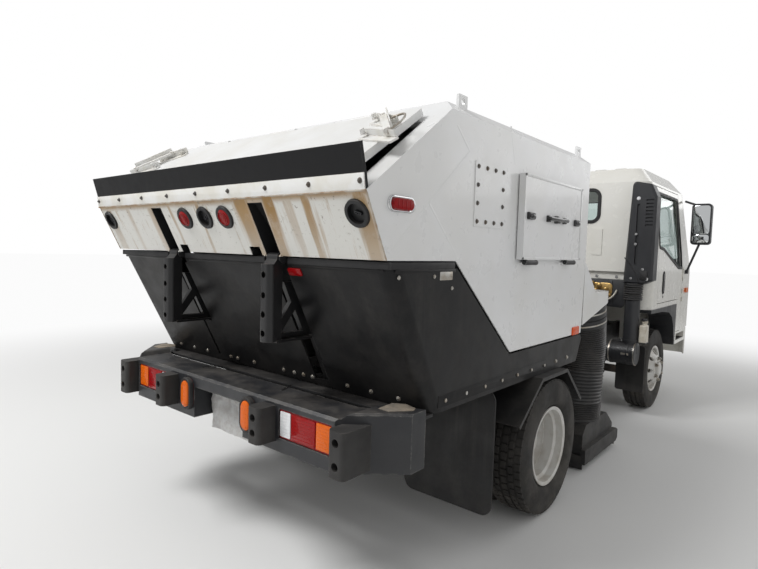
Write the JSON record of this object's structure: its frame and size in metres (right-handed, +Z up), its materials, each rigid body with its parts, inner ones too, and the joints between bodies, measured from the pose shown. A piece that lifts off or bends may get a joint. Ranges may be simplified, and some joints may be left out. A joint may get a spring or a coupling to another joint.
{
  "type": "street sweeper truck",
  "caption": "Cab-over street sweeper truck with a tipping debris hopper, a hinged discharge door, a suction pickup head and twin rear wheels.",
  "frame": {"origin": "on the ground, at the middle of the vehicle's length and width", "axes": "+Z up, -Y towards the front of the vehicle, +X towards its left side"},
  "size_m": [2.43, 5.48, 2.2703],
  "materials": {
    "hopper_white": "aged gloss paint",
    "cab_white": "gloss paint",
    "shroud_black": "gloss paint",
    "bumper_charcoal": "worn satin paint",
    "frame_black": "satin",
    "post_black": "satin",
    "rim_white": "satin",
    "tyre_rubber": "matte",
    "black_rubber": "matte",
    "hose_rubber": "satin",
    "black_plastic": "matte",
    "grille_plastic": "satin",
    "interior_grey": "matte",
    "seat_fabric": "matte",
    "clear_glass": "clear",
    "lamp_glass": "clear",
    "red_lens": "gloss",
    "amber_lens": "gloss",
    "bottle_plastic": "satin",
    "cast_iron": "cast",
    "cylinder_black": "gloss",
    "rod_chrome": "polished",
    "tank_steel": "satin",
    "plate_white": "gloss"
  },
  "bodies": {
    "chassis": {"chassis_frame": "frame_black", "leaf_springs": "frame_black", "front_axle": "cast_iron", "rear_axle": "cast_iron", "engine_block": "cast_iron", "drive_shaft": "cast_iron", "fuel_tank": "tank_steel", "front_bumper": "bumper_charcoal", "air_cleaner": "black_plastic", "lower_shroud": "shroud_black", "pivot_posts": "post_black", "rear_bumper": "bumper_charcoal", "bumper_blocks": "black_rubber", "rear_lamps": "red_lens", "number_plate": "plate_white", "rear_fenders": "frame_black", "mudflaps": "black_rubber", "pickup_head": "frame_black", "blower_housing": "cast_iron", "hoses": "hose_rubber", "exhaust": "tank_steel", "washer_bottle": "bottle_plastic"},
    "cab": {"cab_shell": "cab_white", "cab_glass": "clear_glass", "dashboard": "interior_grey", "steering_wheel": "black_plastic", "seats": "seat_fabric", "grille": "grille_plastic", "headlamps": "lamp_glass", "mirrors": "black_plastic", "intake_snorkel": "black_plastic", "arch_flares": "black_plastic", "cab_lamps": "amber_lens"},
    "door_left": {"door_left": "cab_white", "door_glass_left": "clear_glass"},
    "door_right": {"door_right": "cab_white", "door_glass_right": "clear_glass"},
    "knuckle_left": {"knuckle_left": "cast_iron"},
    "knuckle_right": {"knuckle_right": "cast_iron"},
    "front_wheel_left": {"front_rim_left": "rim_white", "front_tyre_left": "tyre_rubber"},
    "front_wheel_right": {"front_rim_right": "rim_white", "front_tyre_right": "tyre_rubber"},
    "rear_wheels_left": {"rear_rims_left": "rim_white", "rear_tyres_left": "tyre_rubber"},
    "rear_wheels_right": {"rear_rims_right": "rim_white", "rear_tyres_right": "tyre_rubber"},
    "hopper": {"hopper_shell": "hopper_white", "inlet_duct": "hopper_white", "spill_guard": "black_rubber", "hopper_lamps": "black_rubber"},
    "discharge_door": {"discharge_door": "hopper_white"},
    "side_door_left": {"side_door_left": "hopper_white"},
    "side_door_right": {"side_door_right": "hopper_white"},
    "lift_barrels": {"lift_barrels": "cylinder_black"},
    "lift_rods": {"lift_rods": "rod_chrome"}
  },
  "joints": [
    {"name": "cab_tilt", "type": "hinge", "parent": "chassis", "child": "cab", "pos_m": [0, -2.7, 0.61], "axis": [1, 0, 0], "range_deg": [0, 45]},
    {"name": "door_left_swing", "type": "hinge", "parent": "cab", "child": "door_left", "pos_m": [1.005, -2.285, 1.17], "axis": [0, 0, -1], "range_deg": [0, 70]},
    {"name": "door_right_swing", "type": "hinge", "parent": "cab", "child": "door_right", "pos_m": [-1.005, -2.285, 1.17], "axis": [0, 0, 1], "range_deg": [0, 70]},
    {"name": "steer_left", "type": "hinge", "parent": "chassis", "child": "knuckle_left", "pos_m": [0.745, -1.629, 0.38], "axis": [0, 0, 1], "range_deg": [-35, 35]},
    {"name": "steer_right", "type": "hinge", "parent": "chassis", "child": "knuckle_right", "pos_m": [-0.745, -1.629, 0.38], "axis": [0, 0, 1], "range_deg": [-35, 35]},
    {"name": "front_wheel_left_spin", "type": "hinge", "parent": "knuckle_left", "child": "front_wheel_left", "pos_m": [0.8325, -1.629, 0.38], "axis": [1, 0, 0], "continuous": true},
    {"name": "front_wheel_right_spin", "type": "hinge", "parent": "knuckle_right", "child": "front_wheel_right", "pos_m": [-0.8325, -1.629, 0.38], "axis": [1, 0, 0], "continuous": true},
    {"name": "rear_wheels_left_spin", "type": "hinge", "parent": "chassis", "child": "rear_wheels_left", "pos_m": [0.825, 1.14, 0.38], "axis": [1, 0, 0], "continuous": true},
    {"name": "rear_wheels_right_spin", "type": "hinge", "parent": "chassis", "child": "rear_wheels_right", "pos_m": [-0.825, 1.14, 0.38], "axis": [1, 0, 0], "continuous": true},
    {"name": "hopper_tilt", "type": "hinge", "parent": "chassis", "child": "hopper", "pos_m": [0, 2.575, 1.402], "axis": [-1, 0, 0], "range_deg": [0, 90]},
    {"name": "discharge_door_swing", "type": "hinge", "parent": "hopper", "child": "discharge_door", "pos_m": [0, 2.2301, 2.02213], "axis": [1, 0, 0], "range_deg": [-2, 75]},
    {"name": "side_door_left_swing", "type": "hinge", "parent": "hopper", "child": "side_door_left", "pos_m": [1.033, 1.22, 1.405], "axis": [0, 1, 0], "range_deg": [0, 100]},
    {"name": "side_door_right_swing", "type": "hinge", "parent": "hopper", "child": "side_door_right", "pos_m": [-1.033, 1.22, 1.405], "axis": [0, -1, 0], "range_deg": [0, 100]},
    {"name": "lift_barrel_swing", "type": "hinge", "parent": "chassis", "child": "lift_barrels", "pos_m": [0, 1.9, 0.79], "axis": [1, 0, 0], "range_deg": [0, 4.01]},
    {"name": "lift_rod_slide", "type": "slide", "parent": "lift_barrels", "child": "lift_rods", "axis": [0, 0.5909, 0.8068], "range_m": [0, 0.444]}
  ],
  "couplings": [
    {"joint": "steer_right", "follows": "steer_left", "ratio": 1},
    {"joint": "lift_barrel_swing", "follows": "hopper_tilt", "ratio": 0.04432},
    {"joint": "lift_rod_slide", "follows": "hopper_tilt", "m_per_rad": 0.28234}
  ]
}
